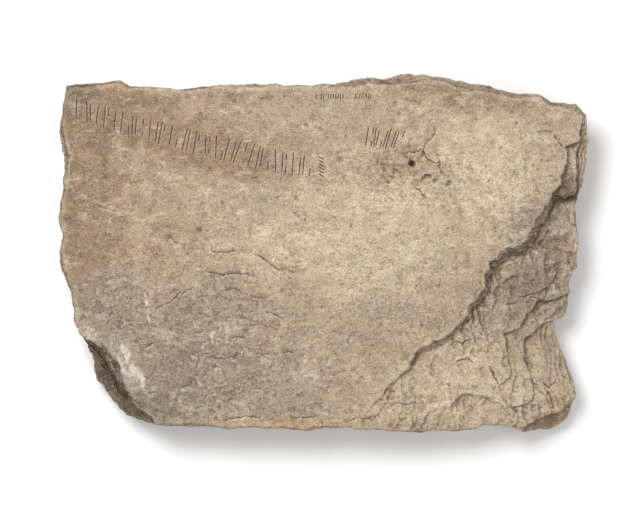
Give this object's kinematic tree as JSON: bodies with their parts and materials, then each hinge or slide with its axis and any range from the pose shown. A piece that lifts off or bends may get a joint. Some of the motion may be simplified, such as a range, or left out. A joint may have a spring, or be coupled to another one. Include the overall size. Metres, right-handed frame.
{
  "type": "rune stone",
  "caption": "Flat slab of bedded limestone with a broken edge, a stepped flake scar across one corner, and rows of shallow incised strokes; lies face up.",
  "frame": {"origin": "on the underside, at the centre of the slab's bounding rectangle", "axes": "+X along the slab's length towards the stepped break, +Y across it towards the rows of strokes, +Z out of the incised face"},
  "size_m": [1.01, 0.684, 0.112],
  "materials": {
    "limestone": "weathered buff-brown limestone, dry and matt, greyer and rougher where it has broken"
  },
  "bodies": {
    "root": {"slab": "limestone"}
  },
  "joints": []
}
